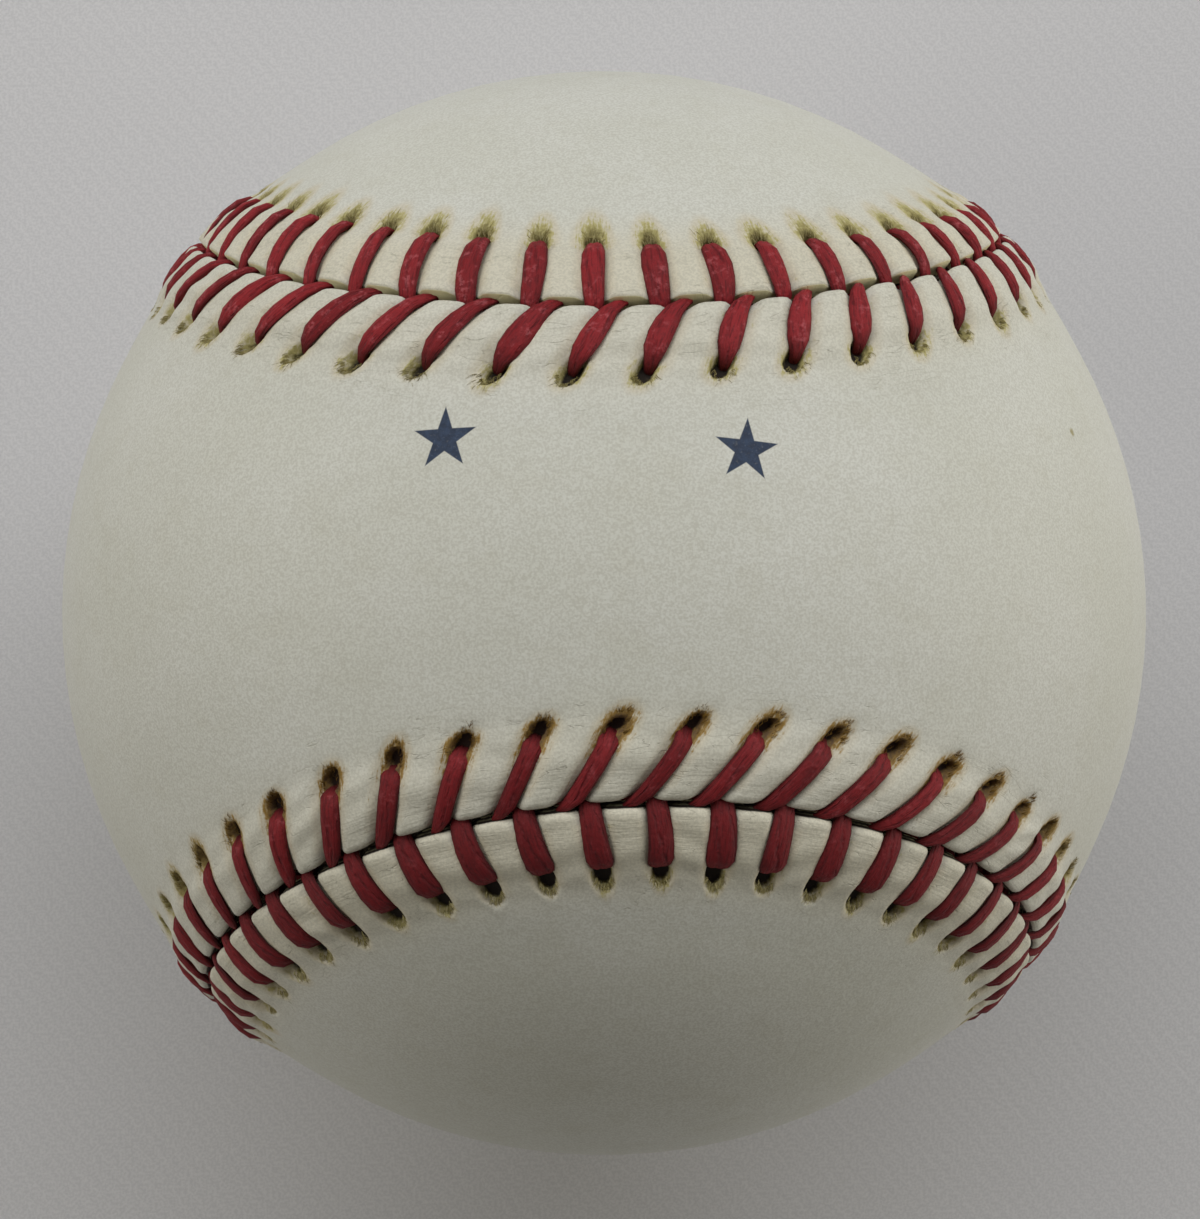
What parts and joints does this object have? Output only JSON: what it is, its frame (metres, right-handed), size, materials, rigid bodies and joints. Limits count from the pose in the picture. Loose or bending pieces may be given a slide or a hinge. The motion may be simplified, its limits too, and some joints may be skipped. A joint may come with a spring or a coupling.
{
  "type": "baseball",
  "caption": "Hard ball for bat-and-ball games: figure-eight leather panels joined by a raised seam of red stitches, over wound yarn and a cork and rubber core.",
  "frame": {"origin": "centre of the ball", "axes": "+Z passes through the middle of the waist of cover panel a and -Z through the middle of the waist of cover panel b, which is the fourfold turn-and-reflect axis of the seam. +Y points from the waist of panel a across the seam to a lobe of panel b, and +X points along the waist of panel a."},
  "size_m": [0.0742, 0.0742, 0.0742],
  "materials": {
    "cork": "matt cork and rubber compound",
    "black_rubber": "matt moulded rubber",
    "red_rubber": "matt moulded rubber",
    "grey_wool": "tightly wound woollen yarn",
    "white_wool": "tightly wound woollen yarn",
    "finishing_yarn": "fine wound poly-cotton yarn with a brushed adhesive coat",
    "cowhide": "pale full-grain cowhide, satin",
    "red_thread": "waxed twisted thread"
  },
  "bodies": {
    "root": {"cork_core": "cork", "black_shell_lower": "black_rubber", "black_shell_upper": "black_rubber", "red_washer": "red_rubber", "red_shell": "red_rubber", "winding_inner_grey": "grey_wool", "winding_white": "white_wool", "winding_outer_grey": "grey_wool", "winding_finish": "finishing_yarn", "cover_panel_a": "cowhide", "cover_panel_b": "cowhide", "stitch_legs_a": "red_thread", "stitch_legs_b": "red_thread", "under_thread_a": "red_thread", "under_thread_b": "red_thread"}
  },
  "joints": []
}
